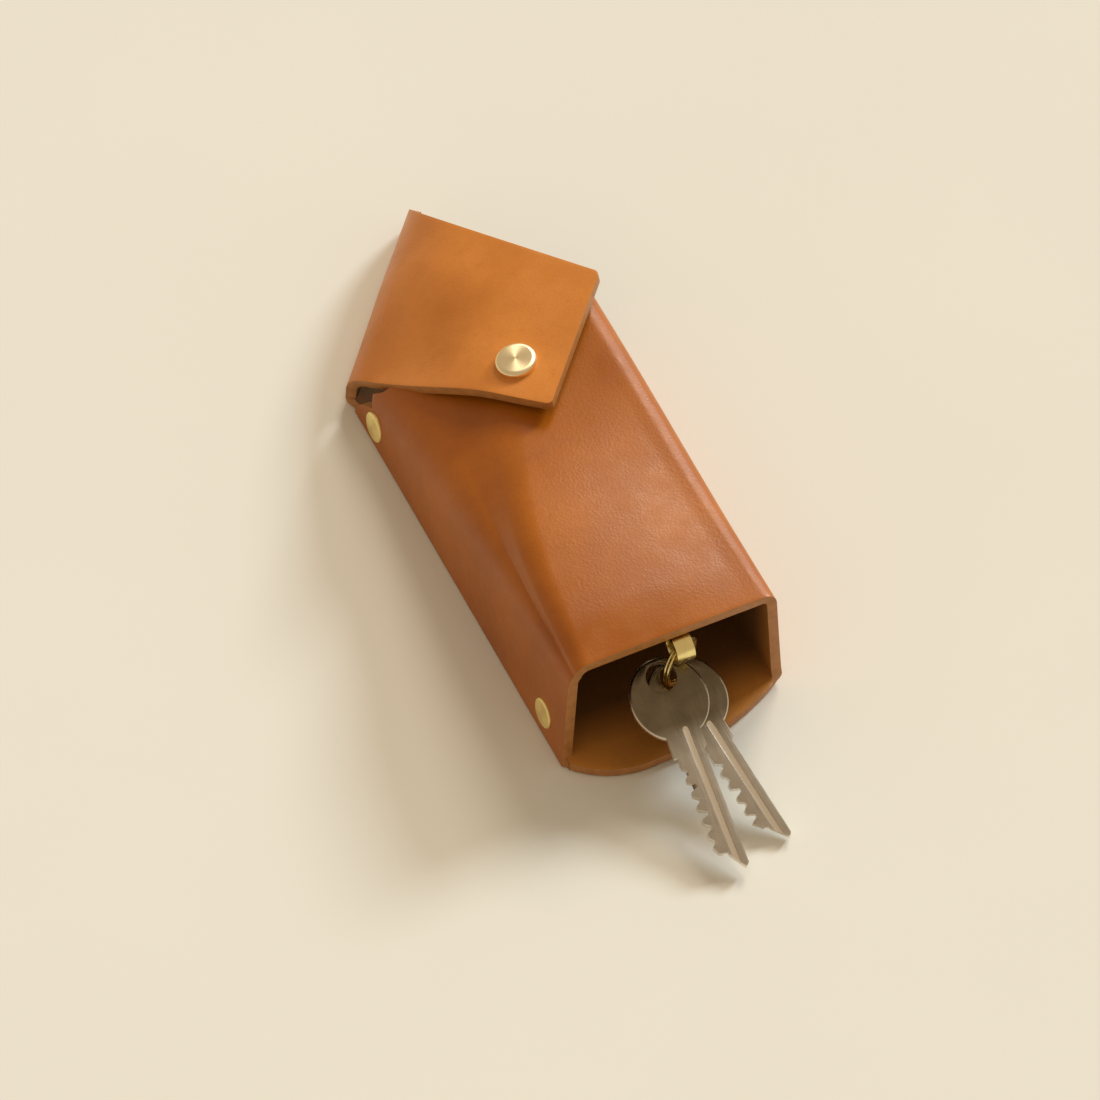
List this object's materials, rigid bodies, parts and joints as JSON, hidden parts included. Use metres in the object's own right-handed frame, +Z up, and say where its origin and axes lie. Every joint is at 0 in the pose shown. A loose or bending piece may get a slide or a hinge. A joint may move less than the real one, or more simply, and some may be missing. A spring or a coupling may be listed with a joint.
{
  "type": "leather key case",
  "caption": "Tan leather tube-shaped key case lying on its back panel, with a diagonal snap flap, brass rivets, a hanger strip with eye and split ring, and flat nickel keys",
  "frame": {"origin": "middle of the mouth plane's width, on the back panel's rest face", "axes": "+Z up from the rest face, +Y along the tube from the mouth to the far end, +X to the right seen from the mouth"},
  "size_m": [0.059, 0.2053, 0.036],
  "materials": {
    "tan_leather": "vegetable-tanned, satin, burnished cut edges",
    "brass": "satin spun",
    "nickel": "worn nickel silver"
  },
  "bodies": {
    "case": {"case_body": "tan_leather", "snap_stud": "brass", "snap_post": "brass", "lower_rivet_cap": "brass", "lower_rivet_post": "brass", "upper_rivet_cap": "brass", "upper_rivet_post": "brass", "key_hanger": "brass"},
    "closing_flap": {"flap": "tan_leather", "snap_cap": "brass", "snap_socket": "brass", "snap_spring": "nickel"},
    "ring": {"split_ring": "brass"},
    "front_key": {"key_1": "nickel"},
    "rear_key": {"key_2": "nickel"}
  },
  "joints": [
    {"name": "flap_fold", "type": "hinge", "parent": "case", "child": "closing_flap", "pos_m": [-0.02853, 0.11643, 0.0013], "axis": [-0.6695, -0.7428, 0], "range_deg": [0, 90]},
    {"name": "ring_swing", "type": "hinge", "parent": "case", "child": "ring", "pos_m": [0.00381, 0.0024, 0.0246], "axis": [-1, 0, 0], "range_deg": [0, 70]},
    {"name": "key_1_turn", "type": "hinge", "parent": "ring", "child": "front_key", "pos_m": [-0.00239, 0, 0.01824], "axis": [0, -0.3123, 0.95], "range_deg": [-20, 6]},
    {"name": "key_2_turn", "type": "hinge", "parent": "ring", "child": "rear_key", "pos_m": [0.00151, 0.0003, 0.0156], "axis": [0, -0.3123, 0.95], "range_deg": [-6, 14]}
  ]
}
